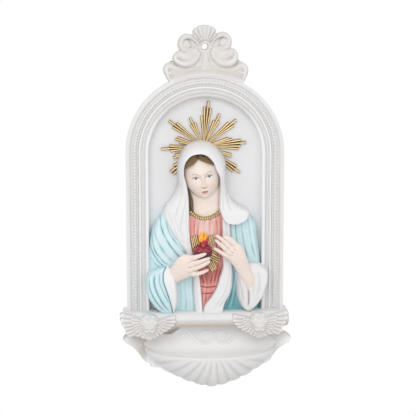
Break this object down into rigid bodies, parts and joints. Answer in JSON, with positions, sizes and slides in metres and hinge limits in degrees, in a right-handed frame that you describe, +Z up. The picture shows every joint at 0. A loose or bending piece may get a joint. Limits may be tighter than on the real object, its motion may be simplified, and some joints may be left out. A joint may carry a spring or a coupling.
{
  "type": "holy water stoup",
  "caption": "Wall-hung holy water stoup: arched niche with a veiled bust and gilt sunburst, scroll crest, cherub ledge and scallop-shell basin.",
  "frame": {"origin": "axis of the hanging hole at the wall face", "axes": "+Z up along the height, -Y out of the wall towards the viewer, +X to the viewer's right"},
  "size_m": [0.1548, 0.0567, 0.3212],
  "materials": {
    "plaster": "matte white painted cast",
    "veil_white": "matte white paint",
    "mantle_blue": "matte pale turquoise paint, darker in the folds",
    "gown_rose": "matte rose paint, darker in the folds",
    "flesh": "matte flesh paint",
    "hair_brown": "matte brown paint",
    "gilt": "gilt paint with a satin shine",
    "heart_red": "glossy crimson paint",
    "flame_orange": "orange and yellow paint"
  },
  "bodies": {
    "root": {"back_panel": "plaster", "arch_frame": "plaster", "bead_strip": "plaster", "crest_plate": "plaster", "crest_upper_scroll_left": "plaster", "crest_upper_scroll_right": "plaster", "crest_lower_scroll_left": "plaster", "crest_lower_scroll_right": "plaster", "crest_ear_left": "plaster", "crest_ear_right": "plaster", "crest_palmette": "plaster", "crest_leaf": "plaster", "ledge": "plaster", "cherub_head_left": "plaster", "cherub_head_right": "plaster", "cherub_left_wing_left": "plaster", "cherub_left_wing_right": "plaster", "cherub_right_wing_left": "plaster", "cherub_right_wing_right": "plaster", "shell_bracket": "plaster", "shell_basin": "plaster", "basin_volute_left": "plaster", "basin_volute_right": "plaster", "sunburst": "gilt", "heart_rays": "gilt", "neckline_trim": "gilt", "mantle_left": "mantle_blue", "mantle_right": "mantle_blue", "sleeve_left": "mantle_blue", "sleeve_right": "veil_white", "lapel_left": "veil_white", "lapel_right": "veil_white", "veil": "veil_white", "veil_lobe": "veil_white", "gown": "gown_rose", "sash": "gown_rose", "head": "flesh", "hand_left": "flesh", "hand_right": "flesh", "hair": "hair_brown", "hair_lock": "hair_brown", "heart": "heart_red", "flame": "flame_orange"}
  },
  "joints": []
}
